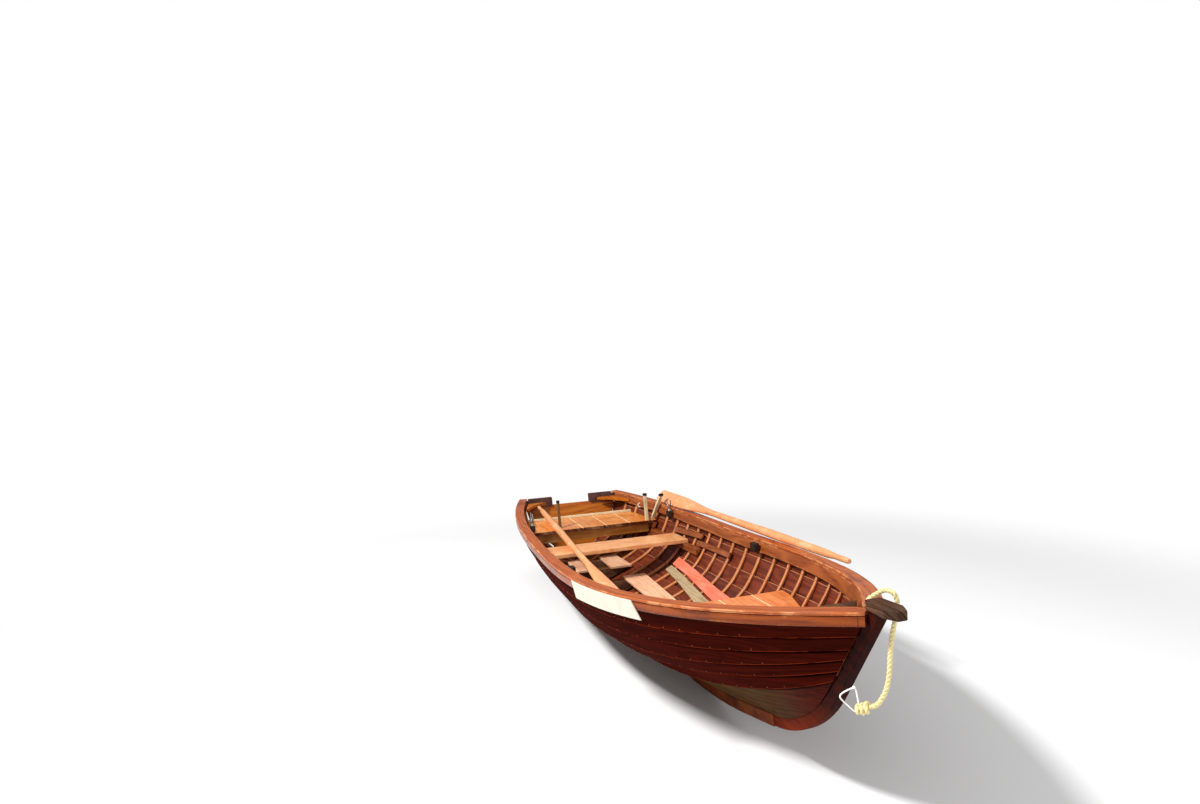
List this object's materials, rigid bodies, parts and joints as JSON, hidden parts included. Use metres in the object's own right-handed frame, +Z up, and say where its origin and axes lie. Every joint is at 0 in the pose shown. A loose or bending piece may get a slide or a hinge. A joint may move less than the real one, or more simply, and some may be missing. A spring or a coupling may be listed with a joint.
{
  "type": "wooden rowing boat",
  "caption": "Open clinker-built wooden rowing boat with bent ribs, stern and bow seats, rowing thwart, floorboards, stowed oars, rowlocks and a thick painter.",
  "frame": {"origin": "on the underside of the keel, amidships", "axes": "+X forward to the stem, +Y to port, +Z up"},
  "size_m": [4.5076, 1.454, 0.9401],
  "materials": {
    "planking": "dark varnish, satin",
    "garboard": "worn varnish",
    "keel": "worn varnish",
    "stem": "weathered varnish",
    "inside_timber": "weathered",
    "transom": "varnish, satin",
    "gunwale": "worn varnish",
    "outwale": "varnish, glossy",
    "inwale": "varnish, satin",
    "ribs": "varnish, satin",
    "stern_seat": "varnish, satin",
    "thwart": "varnish, satin",
    "bow_seat": "varnish, satin",
    "floor": "bare, worn",
    "bare_plank": "bare, grey with age",
    "red_paint": "painted, matt",
    "oars": "varnish, worn",
    "galvanised": "galvanised",
    "rope": "laid rope",
    "white_board": "painted white, blank",
    "pale_wood": "bare"
  },
  "bodies": {
    "hull": {"strake_second_port": "planking", "strake_second_starboard": "planking", "strake_third_port": "planking", "strake_third_starboard": "planking", "strake_fourth_port": "planking", "strake_fourth_starboard": "planking", "strake_fifth_port": "planking", "strake_fifth_starboard": "planking", "strake_sheer_port": "planking", "strake_sheer_starboard": "planking", "strake_garboard_port": "garboard", "strake_garboard_starboard": "garboard", "keel": "keel", "stem": "stem", "stringers_port": "inside_timber", "stringers_starboard": "inside_timber", "keelson": "inside_timber", "breasthook": "inside_timber", "floor_bearers": "inside_timber", "quarter_knee_port": "inside_timber", "quarter_knee_starboard": "inside_timber", "risers_port": "inside_timber", "risers_starboard": "inside_timber", "transom": "transom", "transom_shoulder_port": "transom", "transom_shoulder_starboard": "transom", "gunwale_cap_port": "gunwale", "gunwale_cap_starboard": "gunwale", "outwale_port": "outwale", "outwale_starboard": "outwale", "inwale_port": "inwale", "inwale_starboard": "inwale", "ribs_port": "ribs", "ribs_starboard": "ribs", "stern_seat": "stern_seat", "stern_seat_aft_beam": "stern_seat", "stern_seat_fore_beam": "stern_seat", "stern_seat_ledge": "stern_seat", "rowing_thwart": "thwart", "bow_seat": "bow_seat", "bow_seat_beam": "bow_seat", "floorboards_aft": "floor", "floorboards_fore": "floor", "side_plank_bare": "bare_plank", "side_plank_painted": "red_paint", "rowlock_socket_aft_port": "galvanised", "rowlock_socket_aft_starboard": "galvanised", "rowlock_socket_fore_port": "galvanised", "rowlock_socket_fore_starboard": "galvanised", "painter": "rope", "painter_knot": "rope", "name_board": "white_board", "stern_posts": "pale_wood"},
    "oar_port": {"oar_port": "oars"},
    "oar_starboard": {"oar_starboard": "oars"},
    "rowlock_port": {"rowlock_port": "galvanised"},
    "rowlock_starboard": {"rowlock_starboard": "galvanised"}
  },
  "joints": [
    {"name": "oar_port_lift", "type": "slide", "parent": "hull", "child": "oar_port", "axis": [0, 0, 1], "range_m": [0, 0.3]},
    {"name": "rowlock_port_swivel", "type": "hinge", "parent": "hull", "child": "rowlock_port", "pos_m": [-1.15, 0.57438, 0.605], "axis": [0, 0, 1], "continuous": true},
    {"name": "oar_starboard_lift", "type": "slide", "parent": "hull", "child": "oar_starboard", "axis": [0, 0, 1], "range_m": [0, 0.3]},
    {"name": "rowlock_starboard_swivel", "type": "hinge", "parent": "hull", "child": "rowlock_starboard", "pos_m": [-1.15, -0.57438, 0.605], "axis": [0, 0, 1], "continuous": true}
  ]
}
